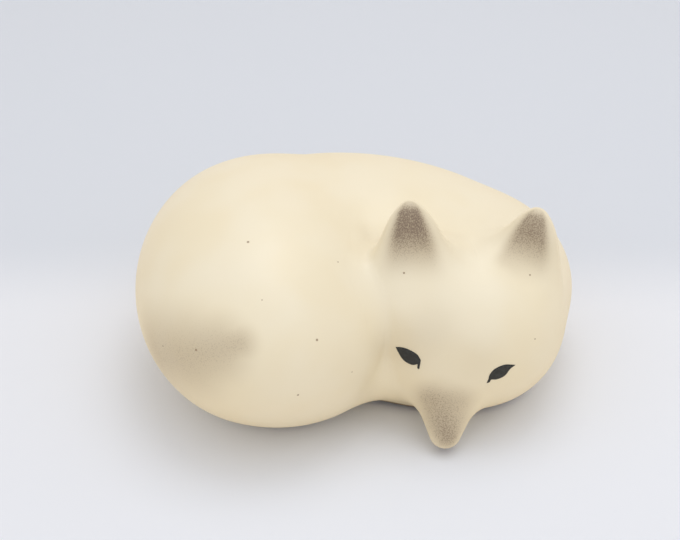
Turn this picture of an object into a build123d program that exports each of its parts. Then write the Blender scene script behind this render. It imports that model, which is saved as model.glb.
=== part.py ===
from build123d import *
import math
import os
from dataclasses import dataclass

import numpy as np

# A curled-up fox, cast hollow in clay and glazed. Sizes in millimetres, angles in degrees.
# The fox rests on z = 0, its long side along x, and its face looks towards minus y.
# Left and right are those of somebody who looks at the face.

# Clay walls and fits
wall = 4.0
floor_thickness = 4.5
glaze_relief = 0.3
cut_overrun = 20.0

# Hip and thigh, the large round lobe at the left
haunch_x = -34.5
haunch_y = -12.0
haunch_z = 40.0
haunch_half_width = 48.0
haunch_half_depth = 64.0
haunch_half_height = 44.5
haunch_turn = 4.0

# Tail, wrapped round the front of the haunch
tail_x = -18.0
tail_y = -28.0
tail_z = 25.0
tail_half_width = 33.0
tail_half_depth = 33.0
tail_half_height = 24.5

# Long arched back behind the head
back_x = 4.0
back_y = 9.0
back_z = 35.5
back_half_width = 78.0
back_half_depth = 51.0
back_half_height = 41.0
back_turn = -12.0

# Chest under the chin
chest_x = 25.0
chest_y = -17.0
chest_z = 22.0
chest_half_width = 38.0
chest_half_depth = 31.0
chest_half_height = 24.0

# Shoulder that closes the curl at the right
shoulder_x = 54.0
shoulder_y = -4.0
shoulder_z = 29.0
shoulder_half_width = 30.9
shoulder_half_depth = 43.0
shoulder_half_height = 31.0
shoulder_turn = -10.0

# Withers, which fill the hollow between back, shoulder and skull
withers_x = 43.6
withers_y = -7.2
withers_z = 31.5
withers_half_width = 40.7
withers_half_depth = 52.0
withers_half_height = 37.3
withers_turn = -12.0

# Ruff, which rounds the head into the chest and the back
ruff_x = 33.8
ruff_y = -16.6
ruff_z = 32.5
ruff_half_width = 48.3
ruff_half_depth = 38.2
ruff_half_height = 38.6
ruff_turn = -23.0

# Thigh, which rounds the haunch into the tail
thigh_x = -22.8
thigh_y = -19.6
thigh_z = 29.9
thigh_half_width = 53.0
thigh_half_depth = 43.8
thigh_half_height = 33.7
thigh_turn = 61.0

# Skull and muzzle
skull_x = 41.0
skull_y = -27.0
skull_z = 35.0
skull_half_width = 36.0
skull_half_depth = 30.0
skull_half_height = 33.0
skull_turn = -17.0
muzzle_root_x = 37.5
muzzle_root_y = -42.0
muzzle_root_z = 27.0
muzzle_root_radius = 16.0
nose_x = 34.5
nose_y = -58.5
nose_z = 8.0
nose_radius = 6.0

# Half size of the space that a level cuts from
space = 200.0

# Bevelled seam along which the cast head is luted to the cast body
seam_apex_x = 39.0
seam_apex_y = 10.0
seam_apex_z = 22.0
seam_turn = 6.0
seam_rise = 22.0
seam_spread_across = 33.0
seam_spread_up = 38.0
seam_squareness = 3.4
seam_near = 14.0
seam_far = 110.0
seam_points = 40

# Ears, hand-formed and luted to the head
ear_left_root_x = 22.5
ear_left_root_y = -36.0
ear_left_root_z = 58.0
ear_left_tip_x = 20.0
ear_left_tip_y = -25.0
ear_left_tip_z = 89.0
ear_left_half_width = 14.0
ear_left_half_thickness = 7.5
ear_left_facing = -6.0
ear_left_facing_rise = 26.0
ear_right_root_x = 62.0
ear_right_root_y = -28.0
ear_right_root_z = 55.0
ear_right_tip_x = 67.0
ear_right_tip_y = -20.0
ear_right_tip_z = 84.0
ear_right_half_width = 13.0
ear_right_half_thickness = 7.5
ear_right_facing = -18.0
ear_right_facing_rise = 23.0
ear_rim_radius = 1.2
ear_depth_below = 8.0
ear_root_taper_share = 2.5
ear_soften = 2.0
ear_rings = 16
ear_spokes = 48
ear_hollow_width_share = 0.78
ear_hollow_depth_share = 0.62
ear_hollow_length_share = 0.6
ear_hollow_height_share = 0.3
ear_hollow_forward_share = 0.9

# Eyes, raised black enamel with a stroke down from the inner corner
eye_left_x = 20.74
eye_left_y = -52.27
eye_left_z = 37.72
eye_left_turn = -23.8
eye_left_rise = 11.0
eye_left_tilt = -14.1
eye_left_length = 11.2
eye_left_height = 5.6
eye_right_x = 52.34
eye_right_y = -57.14
eye_right_z = 33.87
eye_right_turn = 14.1
eye_right_rise = 1.7
eye_right_tilt = 25.4
eye_right_length = 12.3
eye_right_height = 5.1
eye_reach = 4.0
eye_left_upper_shares = (
    (-0.592, 0.259),
    (-0.405, 0.454),
    (-0.186, 0.552),
    (0.149, 0.518),
    (0.345, 0.259),
)
eye_left_stroke_shares = ((0.409, -0.398), (0.329, -0.411), (0.29, -0.127))
eye_left_lower_shares = ((0.13, -0.396), (-0.136, -0.452), (-0.333, -0.259))
eye_right_upper_shares = (
    (0.598, 0.002),
    (0.333, 0.535),
    (0.015, 0.622),
    (-0.198, 0.353),
    (-0.304, 0.002),
)
eye_right_stroke_shares = ((-0.406, -0.263), (-0.315, -0.31), (-0.235, -0.137))
eye_right_lower_shares = ((-0.072, -0.367), (0.172, -0.382), (0.411, -0.057))

# Vent hole in the floor and felt pads under it
vent_hole_diameter = 3.0
vent_hole_x = 2.0
vent_hole_y = -1.0
pad_diameter = 14.0
pad_thickness = 1.0
pad_middle_x = -1.0
pad_middle_y = -6.0
pad_reach_x = 36.0
pad_reach_y = 14.0


@dataclass(frozen=True)
class Lobe:
    """An egg-shaped swelling: its middle, its half sizes and its turn about the vertical."""

    middle: tuple
    half: tuple
    turn: float = 0.0

    def solid(self, growth=0.0):
        """The lobe as a solid, grown or drawn in all round."""
        ball = scale(Sphere(1), by=tuple(size + growth for size in self.half))
        return Pos(*self.middle) * Rot(0, 0, self.turn) * ball


@dataclass(frozen=True)
class Ear:
    """An upright pointed ear: root, tip, half sizes and the way that its hollow faces."""

    root: tuple
    tip: tuple
    half_width: float
    half_thickness: float
    facing: float
    facing_rise: float

    def axes(self):
        """Directions across the ear, out of its hollow and up to its tip, and its height."""
        spine = np.array(self.tip) - np.array(self.root)
        height = float(np.linalg.norm(spine))
        spine = spine / height
        front = np.array(outward(self.facing, self.facing_rise))
        front = front - spine * float(front @ spine)
        front = front / np.linalg.norm(front)
        return np.cross(front, spine), front, spine, height

    def gap(self, points):
        """Distance outside the ear by itself, below zero inside it."""
        across, front, spine, height = self.axes()
        inner_height = height - ear_rim_radius
        inner_half = self.half_width - ear_rim_radius
        off = points - np.array(self.root)
        up = off @ spine
        up = np.where(up < 0, up * ear_root_taper_share, up)
        local = np.stack([off @ across, off @ front, up], -1)
        arc = (inner_height**2 / inner_half + inner_half) / 2
        shift = np.array([arc - inner_half, 0, 0])
        half = (arc, self.half_thickness, arc)
        leaf = overlap(
            egg_gap(local - shift, half), egg_gap(local + shift, half), ear_soften
        )
        scoop_middle = np.array(
            [
                0,
                self.half_thickness * ear_hollow_forward_share,
                height * ear_hollow_height_share,
            ]
        )
        scoop_half = (
            self.half_width * ear_hollow_width_share,
            self.half_thickness * ear_hollow_depth_share,
            height * ear_hollow_length_share,
        )
        scoop = egg_gap(local - scoop_middle, scoop_half)
        return overlap(leaf - ear_rim_radius, -scoop, ear_soften)


def egg_gap(local, half):
    """Distance outside an egg shape about zero with the given half sizes."""
    size = np.array(half)
    near = np.linalg.norm(local / size, axis=-1)
    slope = np.linalg.norm(local / size**2, axis=-1) + 1e-9
    return near * (near - 1) / slope


def flow(first, second, blend):
    """Join two forms, with a soft hollow of the given width between them."""
    share = np.maximum(blend - np.abs(first - second), 0) / blend
    return np.minimum(first, second) - share * share * blend / 4


def overlap(first, second, blend):
    """What two forms have in common, with a soft edge of the given width."""
    return -flow(-first, -second, blend)


def outward(turn, rise):
    """Direction to the front, turned about the vertical and raised by the given angles."""
    side, up = math.radians(turn), math.radians(rise)
    return (
        math.sin(side) * math.cos(up),
        -math.cos(side) * math.cos(up),
        math.sin(up),
    )


haunch = Lobe(
    (haunch_x, haunch_y, haunch_z),
    (haunch_half_width, haunch_half_depth, haunch_half_height),
    haunch_turn,
)
tail = Lobe((tail_x, tail_y, tail_z), (tail_half_width, tail_half_depth, tail_half_height))
back = Lobe(
    (back_x, back_y, back_z),
    (back_half_width, back_half_depth, back_half_height),
    back_turn,
)
chest = Lobe(
    (chest_x, chest_y, chest_z),
    (chest_half_width, chest_half_depth, chest_half_height),
)
shoulder = Lobe(
    (shoulder_x, shoulder_y, shoulder_z),
    (shoulder_half_width, shoulder_half_depth, shoulder_half_height),
    shoulder_turn,
)
withers = Lobe(
    (withers_x, withers_y, withers_z),
    (withers_half_width, withers_half_depth, withers_half_height),
    withers_turn,
)
ruff = Lobe(
    (ruff_x, ruff_y, ruff_z),
    (ruff_half_width, ruff_half_depth, ruff_half_height),
    ruff_turn,
)
thigh = Lobe(
    (thigh_x, thigh_y, thigh_z),
    (thigh_half_width, thigh_half_depth, thigh_half_height),
    thigh_turn,
)
skull = Lobe(
    (skull_x, skull_y, skull_z),
    (skull_half_width, skull_half_depth, skull_half_height),
    skull_turn,
)
left_ear_form = Ear(
    (ear_left_root_x, ear_left_root_y, ear_left_root_z),
    (ear_left_tip_x, ear_left_tip_y, ear_left_tip_z),
    ear_left_half_width,
    ear_left_half_thickness,
    ear_left_facing,
    ear_left_facing_rise,
)
right_ear_form = Ear(
    (ear_right_root_x, ear_right_root_y, ear_right_root_z),
    (ear_right_tip_x, ear_right_tip_y, ear_right_tip_z),
    ear_right_half_width,
    ear_right_half_thickness,
    ear_right_facing,
    ear_right_facing_rise,
)


LOBES = (haunch, tail, thigh, back, chest, shoulder, withers, ruff, skull)


def reach(gap, starts, rays, longest):
    """How far each ray goes from its start before it leaves the form."""
    steps = np.linspace(0, longest, 141)
    outside = np.stack([gap(starts + rays * step) > 0 for step in steps])
    outside[0] = False
    outside[-1] = True
    first = np.argmax(outside, axis=0)
    low = steps[first - 1]
    high = steps[first]
    for _ in range(24):
        middle = (low + high) / 2
        out = gap(starts + rays * middle[..., None]) > 0
        high = np.where(out, middle, high)
        low = np.where(out, low, middle)
    return (low + high) / 2


def closed_ring(points):
    """Smooth closed wire through the points."""
    count = len(points)
    steps = [step / count for step in range(count + 1)]
    line = Edge.make_spline([tuple(point) for point in points], periodic=True, parameters=steps)
    return Wire([line])


def above(height):
    """All space over a level."""
    block = Box(2 * space, 2 * space, space, align=(Align.CENTER, Align.CENTER, Align.MIN))
    return Pos(0, 0, height) * block


def muzzle(growth=0.0):
    """Tapered muzzle with a round nose, grown or drawn in all round."""
    root = Vector(muzzle_root_x, muzzle_root_y, muzzle_root_z)
    line = Vector(nose_x, nose_y, nose_z) - root
    wide = muzzle_root_radius + growth
    fine = nose_radius + growth
    lean = math.asin((wide - fine) / line.length)
    side_start = (wide * math.sin(lean), wide * math.cos(lean))
    side_end = (line.length + fine * math.sin(lean), fine * math.cos(lean))
    half = math.radians(90) + lean
    behind = (-wide * math.cos(half / 2), wide * math.sin(half / 2))
    ahead_angle = (math.radians(90) - lean) / 2
    ahead = (line.length + fine * math.cos(ahead_angle), fine * math.sin(ahead_angle))
    outline = Wire(
        [
            Edge.make_three_point_arc((-wide, 0), behind, side_start),
            Edge.make_line(side_start, side_end),
            Edge.make_three_point_arc(side_end, ahead, (line.length + fine, 0)),
            Edge.make_line((line.length + fine, 0), (-wide, 0)),
        ]
    )
    turned = revolve(Face(outline), Axis.X, 360)
    return Plane(origin=root, x_dir=line.normalized(), z_dir=cross_direction(line)) * turned


def cross_direction(line):
    """A direction square to a line, as level as it can be."""
    return Vector(-line.Y, line.X, 0).normalized()


def seam_frame():
    """Apex of the seam's bevel, and its directions along, across and up."""
    along = np.array(outward(seam_turn, seam_rise))
    turn = math.radians(seam_turn)
    across = np.array([math.cos(turn), math.sin(turn), 0])
    apex = np.array([seam_apex_x, seam_apex_y, seam_apex_z])
    return apex, along, across, np.cross(along, across)


def seam_spread(depth):
    """Half sizes of the seam's outline at a depth from the apex."""
    wide = depth * math.tan(math.radians(seam_spread_across))
    tall = depth * math.tan(math.radians(seam_spread_up))
    return wide, tall


def seam_plug():
    """Bevelled plug that parts the head from the body."""
    apex, along, across, up = seam_frame()
    outlines = []
    for depth in (seam_near, seam_far):
        wide, tall = seam_spread(depth)
        ring = []
        for step in range(seam_points):
            angle = 2 * math.pi * step / seam_points
            cosine, sine = math.cos(angle), math.sin(angle)
            bulge = abs(cosine) ** seam_squareness + abs(sine) ** seam_squareness
            scale = bulge ** (-1 / seam_squareness)
            place = apex + along * depth
            place = place + across * (wide * scale * cosine) + up * (tall * scale * sine)
            ring.append(place)
        outlines.append(closed_ring(ring))
    return Solid.make_loft(outlines, ruled=True)


def fox(growth=0.0):
    """Curled body with its head and muzzle, grown or drawn in all round."""
    whole = haunch.solid(growth)
    for lobe in LOBES[1:]:
        whole = whole + lobe.solid(growth)
    return whole + muzzle(growth)


def largest(shape):
    """Main solid of a cut, without crumbs."""
    return max(shape.solids(), key=lambda solid: solid.volume)


def body_shell(cast, plug):
    """Cast body: hollow, open where the head sits, with a vent hole in its floor."""
    hole = Cylinder(vent_hole_diameter / 2, cut_overrun)
    hole = Pos(vent_hole_x, vent_hole_y, pad_thickness) * hole
    return largest(largest(cast - hole) - plug)


def head_shell(cast, plug):
    """Cast head: a cap with its muzzle, hollow from behind."""
    return largest(cast & plug)


def ear_solid(form, whole):
    """Ear with a thin round rim, cut to the surface that it is luted to."""
    across, front, spine, height = form.axes()
    root = np.array(form.root)

    tall = float(reach(form.gap, root, np.array([spine]), 2 * height)[0])
    wires = []
    for ring in range(ear_rings):
        rising = math.sin(math.pi / 2 * ring / ear_rings)
        start = root + spine * ((tall + ear_depth_below) * rising - ear_depth_below)
        angles = 2 * math.pi * np.arange(ear_spokes) / ear_spokes
        rays = np.cos(angles)[:, None] * across + np.sin(angles)[:, None] * front
        found = start + rays * reach(form.gap, start, rays, height)[..., None]
        wires.append(closed_ring(found))
    rough = Solid.make_loft([*wires, Vertex(*(root + spine * tall))])
    return largest(rough - whole)


def eye_solid(place, turn, rise, tilt, size, outlines, enamel, whole):
    """Raised enamel eye that follows the face."""
    length, height = size
    upper, stroke, lower = outlines
    normal = outward(turn, rise)
    level = np.array([math.cos(math.radians(turn)), math.sin(math.radians(turn)), 0])
    rising = np.cross(normal, level)
    lean = level * math.cos(math.radians(tilt)) + rising * math.sin(math.radians(tilt))
    plane = Plane(origin=place, x_dir=tuple(lean), z_dir=normal)
    lid = [plane.from_local_coords((u * length, v * height, 0)) for u, v in upper]
    tear = [plane.from_local_coords((u * length, v * height, 0)) for u, v in stroke]
    under = [plane.from_local_coords((u * length, v * height, 0)) for u, v in lower]
    outline = Wire(
        [
            Edge.make_spline(lid),
            Edge.make_line(lid[-1], tear[0]),
            Edge.make_line(tear[0], tear[1]),
            Edge.make_line(tear[1], tear[2]),
            Edge.make_spline([tear[2], *under, lid[0]]),
        ]
    )
    prism = extrude(Face(outline), eye_reach, dir=normal, both=True)
    return (enamel & prism) - whole


def felt_pad(side, end):
    """Round felt pad under the foot."""
    pad = Cylinder(
        pad_diameter / 2,
        pad_thickness,
        align=(Align.CENTER, Align.CENTER, Align.MIN),
    )
    return Pos(pad_middle_x + side * pad_reach_x, pad_middle_y + end * pad_reach_y, 0) * pad


def build():
    """All pieces by name."""
    plug = seam_plug()
    whole = fox() & above(pad_thickness)
    cast = whole - (fox(-wall) & above(pad_thickness + floor_thickness))
    enamel = fox(glaze_relief)
    pieces = {
        "body_shell": body_shell(cast, plug),
        "head_shell": head_shell(cast, plug),
        "left_ear": ear_solid(left_ear_form, whole),
        "right_ear": ear_solid(right_ear_form, whole),
        "left_eye": eye_solid(
            (eye_left_x, eye_left_y, eye_left_z),
            eye_left_turn,
            eye_left_rise,
            eye_left_tilt,
            (eye_left_length, eye_left_height),
            (eye_left_upper_shares, eye_left_stroke_shares, eye_left_lower_shares),
            enamel,
            whole,
        ),
        "right_eye": eye_solid(
            (eye_right_x, eye_right_y, eye_right_z),
            eye_right_turn,
            eye_right_rise,
            eye_right_tilt,
            (eye_right_length, eye_right_height),
            (eye_right_upper_shares, eye_right_stroke_shares, eye_right_lower_shares),
            enamel,
            whole,
        ),
    }
    number = 0
    for side in (-1, 1):
        for end in (-1, 1):
            number += 1
            pieces[f"felt_pad_{number}"] = felt_pad(side, end)
    return pieces


def main():
    """Write every piece, with the plan centre of the whole fox at the origin."""
    os.makedirs("parts", exist_ok=True)
    pieces = build()
    boxes = [piece.bounding_box() for piece in pieces.values()]
    low = np.min([tuple(box.min) for box in boxes], axis=0)
    high = np.max([tuple(box.max) for box in boxes], axis=0)
    middle = (low + high) / 2
    for name, piece in pieces.items():
        export_step(Pos(-middle[0], -middle[1], 0) * piece, f"parts/{name}.step")
    print("middle", middle, "size", high - low)


main()
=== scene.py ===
"""Looks of a curled-up fox of glazed clay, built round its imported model.

The forms are worked out in millimetres in the modeller's own frame. Each mesh is moved
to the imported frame, in metres, as it is made. Left and right are those of a viewer who
looks at the face.
"""

from __future__ import annotations

import logging
import math
from collections.abc import Callable
from dataclasses import dataclass, field
from enum import Enum
from functools import cache

import bmesh
import bpy
import numpy as np
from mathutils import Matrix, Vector

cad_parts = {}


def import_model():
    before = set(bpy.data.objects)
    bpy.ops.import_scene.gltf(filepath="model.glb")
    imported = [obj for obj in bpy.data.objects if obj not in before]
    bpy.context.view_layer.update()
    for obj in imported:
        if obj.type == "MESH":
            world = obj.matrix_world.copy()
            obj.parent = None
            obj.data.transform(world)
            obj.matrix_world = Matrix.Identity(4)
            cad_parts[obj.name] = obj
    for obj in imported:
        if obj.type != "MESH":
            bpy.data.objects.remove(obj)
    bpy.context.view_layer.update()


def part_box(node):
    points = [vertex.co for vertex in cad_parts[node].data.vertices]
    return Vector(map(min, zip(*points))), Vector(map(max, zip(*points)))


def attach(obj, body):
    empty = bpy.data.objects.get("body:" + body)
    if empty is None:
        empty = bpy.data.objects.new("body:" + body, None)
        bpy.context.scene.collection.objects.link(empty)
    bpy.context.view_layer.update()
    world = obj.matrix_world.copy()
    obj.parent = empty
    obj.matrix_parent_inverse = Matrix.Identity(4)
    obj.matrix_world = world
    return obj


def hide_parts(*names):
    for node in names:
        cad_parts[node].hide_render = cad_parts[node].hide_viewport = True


LOG = logging.getLogger("fox")

# Kinds of values
Gap = Callable[[np.ndarray], np.ndarray]
Triple = tuple[float, float, float]
Colour = tuple[float, float, float, float]
Pair = tuple[float, float]

# One millimetre in metres, and a length that keeps a division from meeting zero
MM = 0.001
TINY = 1e-9

# Middle of the felt pads in the modeller's plan, and how many there are
PAD_MIDDLE = (-1.0, -6.0)
PAD_COUNT = 4


class Slot(Enum):
    """Material slots of the record."""

    GLAZE = "ivory_glaze"
    ENAMEL = "black_enamel"
    FELT = "felt"


# Forms


def egg_gap(local: np.ndarray, half: Triple) -> np.ndarray:
    """Distance outside an egg shape about zero.

    Args:
        local: Points relative to the egg's middle.
        half: Half sizes of the egg.

    Returns:
        The distance of each point, below zero inside.
    """
    size = np.array(half)
    share = np.linalg.norm(local / size, axis=-1)
    steepness = np.linalg.norm(local / size**2, axis=-1) + TINY
    return share * (share - 1) / steepness


def flow(first: np.ndarray, second: np.ndarray, blend: float) -> np.ndarray:
    """Joins two forms with a soft hollow between them.

    Args:
        first: Distances outside one form.
        second: Distances outside the other form.
        blend: Width of the hollow.

    Returns:
        Distances outside the joined form.
    """
    share = np.maximum(blend - np.abs(first - second), 0) / blend
    return np.minimum(first, second) - share * share * blend / 4


def overlap(first: np.ndarray, second: np.ndarray, blend: float) -> np.ndarray:
    """What two forms have in common, with a soft edge.

    Args:
        first: Distances outside one form.
        second: Distances outside the other form.
        blend: Width of the soft edge.

    Returns:
        Distances outside the common part.
    """
    return -flow(-first, -second, blend)


def ease(low: float, high: float, value: np.ndarray) -> np.ndarray:
    """Smooth step from 0 at low to 1 at high.

    Args:
        low: Value at which the step starts.
        high: Value at which it ends, above or below low.
        value: Values to step.

    Returns:
        Values from 0 to 1.
    """
    share = np.clip((value - low) / (high - low), 0, 1)
    return share * share * (3 - 2 * share)


def outward(turn: float, rise: float) -> np.ndarray:
    """Direction to the front, turned about the vertical and raised.

    Args:
        turn: Turn in degrees, to the right above zero.
        rise: Rise in degrees.

    Returns:
        The unit direction.
    """
    side, up = math.radians(turn), math.radians(rise)
    return np.array([math.sin(side) * math.cos(up), -math.cos(side) * math.cos(up), math.sin(up)])


@cache
def plan_middle() -> Pair:
    """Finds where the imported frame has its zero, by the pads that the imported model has.

    Returns:
        Place of that zero in the modeller's plan, in millimetres.
    """
    boxes = np.array([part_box(f"felt_pad_{number}") for number in range(1, PAD_COUNT + 1)])
    packed = boxes.mean(axis=(0, 1)) / MM
    return PAD_MIDDLE[0] - packed[0], PAD_MIDDLE[1] - packed[1]


def to_frame(points: np.ndarray) -> np.ndarray:
    """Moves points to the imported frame.

    Args:
        points: Points in millimetres in the modeller's frame.

    Returns:
        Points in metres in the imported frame.
    """
    return (points - np.array([*plan_middle(), 0])) * MM


def slope(gap: Gap, points: np.ndarray, step: float = 0.06) -> np.ndarray:
    """Outward unit normals of a form at points on it.

    Args:
        gap: Distance function of the form.
        points: Points on its surface.
        step: Half the length over which the change is measured.

    Returns:
        Unit normals.
    """
    found = np.zeros_like(points)
    for axis in range(3):
        move = np.zeros(3)
        move[axis] = step
        found[..., axis] = gap(points + move) - gap(points - move)
    return found / (np.linalg.norm(found, axis=-1, keepdims=True) + TINY)


@dataclass(frozen=True)
class Lobe:
    """An egg-shaped swelling: its middle, its half sizes and its turn about the vertical."""

    middle: Triple
    half: Triple
    turn: float = 0.0

    def gap(self, points: np.ndarray) -> np.ndarray:
        """Distance outside the lobe.

        Args:
            points: Points to measure.

        Returns:
            Distances, below zero inside.
        """
        off = points - np.array(self.middle)
        cosine, sine = math.cos(math.radians(self.turn)), math.sin(math.radians(self.turn))
        along = off[..., 0] * cosine + off[..., 1] * sine
        across = off[..., 1] * cosine - off[..., 0] * sine
        return egg_gap(np.stack([along, across, off[..., 2]], -1), self.half)


@dataclass(frozen=True)
class Taper:
    """A round cone with ball ends."""

    start: Triple
    end: Triple
    start_radius: float
    end_radius: float

    def gap(self, points: np.ndarray) -> np.ndarray:
        """Distance outside the cone.

        Args:
            points: Points to measure.

        Returns:
            Distances, below zero inside.
        """
        line = np.array(self.end) - np.array(self.start)
        length = float(np.linalg.norm(line))
        off = points - np.array(self.start)
        along = off @ (line / length)
        radius = np.linalg.norm(off - along[..., None] * (line / length), axis=-1)
        lean = (self.start_radius - self.end_radius) / length
        steady = math.sqrt(1 - lean * lean)
        foot = np.clip(along - radius * lean / steady, 0, length)
        wide = self.start_radius - lean * foot
        return np.hypot(along - foot, radius) - wide


@dataclass(frozen=True)
class Ear:
    """An upright pointed ear: root, tip, half sizes and the way that its hollow faces.

    The ear is what two tall egg shapes have in common, grown by its rim. The eggs meet a
    little above the tip, which blunts it, and shrink fast below the root. The scoop is the
    hollow's egg shape. Its place is in half thicknesses to the front and in heights up, and
    its half sizes are in half widths, half thicknesses and heights.
    """

    root: Triple
    tip: Triple
    half_width: float
    half_thickness: float
    facing: float
    facing_rise: float
    rim: float = 1.6
    soften: float = 2.0
    root_taper: float = 3.8
    bluntness: float = 1.02
    scoop_place: Pair = (2.6, 0.58)
    scoop_half: Triple = (1.2, 1.9, 0.7)
    scoop_edge: float = 3.5
    root_blend: float = 9.0
    blend_growth: float = 1.0
    growth_levels: Pair = (-6.0, 8.0)

    def axes(self) -> tuple[np.ndarray, np.ndarray, np.ndarray, float]:
        """Directions across the ear, out of its hollow and up to its tip, and its height.

        Returns:
            Across, front and spine directions and the height.
        """
        spine = np.array(self.tip) - np.array(self.root)
        height = float(np.linalg.norm(spine))
        spine = spine / height
        front = outward(self.facing, self.facing_rise)
        front = front - spine * float(front @ spine)
        front = front / np.linalg.norm(front)
        return np.cross(front, spine), front, spine, height

    def local(self, points: np.ndarray) -> np.ndarray:
        """Points in the ear's own directions: across, front and up.

        Args:
            points: Points in the modeller's frame.

        Returns:
            Points relative to the root.
        """
        across, front, spine, _ = self.axes()
        off = points - np.array(self.root)
        return np.stack([off @ across, off @ front, off @ spine], -1)

    def gap(self, points: np.ndarray) -> np.ndarray:
        """Distance outside the ear by itself.

        Args:
            points: Points to measure.

        Returns:
            Distances, below zero inside.
        """
        height = self.axes()[3]
        inner_height = height - self.rim
        inner_half = self.half_width - self.rim
        local = self.local(points)
        local[..., 2] *= np.where(local[..., 2] < 0, self.root_taper, 1)
        wide = inner_half / (1 - math.sqrt(1 - self.bluntness**-2))
        shift = np.array([wide - inner_half, 0, 0])
        half = (wide, self.half_thickness, inner_height * self.bluntness)
        leaf = overlap(egg_gap(local - shift, half), egg_gap(local + shift, half), self.soften)
        unit = np.array([self.half_width, self.half_thickness, height])
        place = np.array([0, *self.scoop_place]) * unit
        scoop = egg_gap(local - place, tuple(np.array(self.scoop_half) * unit))
        return overlap(leaf - self.rim, -scoop, self.scoop_edge)

    def join(self, skin: np.ndarray, own: np.ndarray, points: np.ndarray) -> np.ndarray:
        """Joins the ear to the head, more softly higher up.

        Args:
            skin: Distances outside the head.
            own: Distances outside the ear.
            points: Points that they belong to.

        Returns:
            Distances outside both.
        """
        growth = ease(*self.growth_levels, self.local(points)[..., 2])
        return flow(skin, own, self.root_blend + self.blend_growth * growth)


@dataclass(frozen=True)
class Crease:
    """The narrow hollow between haunch and neck, which widens over the back and at the foot."""

    width: float = 1.8
    upper_growth: float = 10.0
    upper_levels: Pair = (60.0, 80.0)
    lower_growth: float = 11.0
    lower_levels: Pair = (42.0, 14.0)

    def blend(self, level: np.ndarray) -> np.ndarray:
        """Width of the hollow at a height.

        Args:
            level: Heights above the table.

        Returns:
            The width at each height.
        """
        upper = self.upper_growth * ease(*self.upper_levels, level)
        return self.width + upper + self.lower_growth * ease(*self.lower_levels, level)


@dataclass(frozen=True)
class Fox:
    """The whole form, and the levels and walls that it is cast with.

    The skin is drawn in a little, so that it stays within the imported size.
    """

    haunch: Lobe = Lobe((-34.5, -12, 41), (48, 64, 43.4), 4)
    tail: Lobe = Lobe((-18, -28, 26.5), (33, 32.5, 24.5))
    rump: Lobe = Lobe((-8, -18, 42), (24, 38, 22))
    back: Lobe = Lobe((4, 11.8, 35.5), (78, 47.8, 41), -12)
    chest: Lobe = Lobe((25, -17, 23.6), (38, 31, 22.5))
    shoulder: Lobe = Lobe((54, -4, 29), (28.5, 43, 31), -10)
    skull: Lobe = Lobe((41, -27, 36.6), (36, 30, 31), -17)
    brisket: Lobe = Lobe((34, -18.2, 4), (35, 19.4, 10))
    muzzle: Taper = Taper((35.4, -42, 27), (34.1, -58.5, 8), 16.3, 6.1)
    left_ear: Ear = Ear((23.4, -38.8, 46.7), (20, -25, 89), 16.2, 7.5, -6, 26)
    right_ear: Ear = Ear((60, -28.8, 43.1), (67.8, -20, 82.4), 15.2, 7.5, -18, 23)
    crease: Crease = Crease()
    tail_blend: float = 12.0
    rump_blend: float = 10.0
    chest_blend: float = 10.0
    shoulder_blend: float = 14.0
    skull_blend: float = 14.0
    brisket_blend: float = 4.0
    muzzle_blend: float = 7.0
    foot_level: float = 1.0
    foot_edge: float = 1.5
    floor_thickness: float = 4.5
    wall: float = 4.0
    draw_in: float = 0.1

    def bare(self, points: np.ndarray) -> np.ndarray:
        """Distance outside the form without its ears and its foot.

        Args:
            points: Points to measure.

        Returns:
            Distances, below zero inside.
        """
        rear, front = self.haunch.gap(points), self.back.gap(points)
        for lobe, blend in ((self.tail, self.tail_blend), (self.rump, self.rump_blend)):
            rear = flow(rear, lobe.gap(points), blend)
        for form, blend in (
            (self.chest, self.chest_blend),
            (self.shoulder, self.shoulder_blend),
            (self.skull, self.skull_blend),
            (self.brisket, self.brisket_blend),
            (self.muzzle, self.muzzle_blend),
        ):
            front = flow(front, form.gap(points), blend)
        return flow(rear, front, self.crease.blend(points[..., 2])) + self.draw_in

    def skin(self, points: np.ndarray) -> np.ndarray:
        """Distance outside the glazed form without its ears.

        Args:
            points: Points to measure.

        Returns:
            Distances, below zero inside.
        """
        return overlap(self.bare(points), self.foot_level - points[..., 2], self.foot_edge)

    def lining(self, points: np.ndarray) -> np.ndarray:
        """Distance outside the cavity.

        Args:
            points: Points to measure.

        Returns:
            Distances, below zero inside the cavity.
        """
        level = self.foot_level + self.floor_thickness
        return overlap(self.bare(points) + self.wall, level - points[..., 2], self.foot_edge)

    def eared(self, points: np.ndarray) -> np.ndarray:
        """Distance outside the form with its ears.

        Args:
            points: Points to measure.

        Returns:
            Distances, below zero inside.
        """
        form = self.skin(points)
        for ear in (self.left_ear, self.right_ear):
            form = ear.join(form, ear.gap(points) + self.draw_in, points)
        return form


@dataclass(frozen=True)
class Seam:
    """Bevelled seam between the cast head and the cast body."""

    apex: Triple = (39, 10, 22)
    turn: float = 6.0
    rise: float = 22.0
    spread_across: float = 33.0
    spread_up: float = 38.0
    squareness: float = 3.4
    near: float = 14.0

    def in_head(self, points: np.ndarray) -> np.ndarray:
        """Which points belong to the head.

        Args:
            points: Points in the modeller's frame.

        Returns:
            True for each point on the head's side.
        """
        along = outward(self.turn, self.rise)
        turn = math.radians(self.turn)
        across = np.array([math.cos(turn), math.sin(turn), 0])
        off = points - np.array(self.apex)
        depth = off @ along
        wide = np.maximum(depth, TINY) * math.tan(math.radians(self.spread_across))
        tall = np.maximum(depth, TINY) * math.tan(math.radians(self.spread_up))
        bulge = np.abs(off @ across / wide) ** self.squareness
        bulge = bulge + np.abs(off @ np.cross(along, across) / tall) ** self.squareness
        return (depth > self.near) & (bulge < 1)


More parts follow.
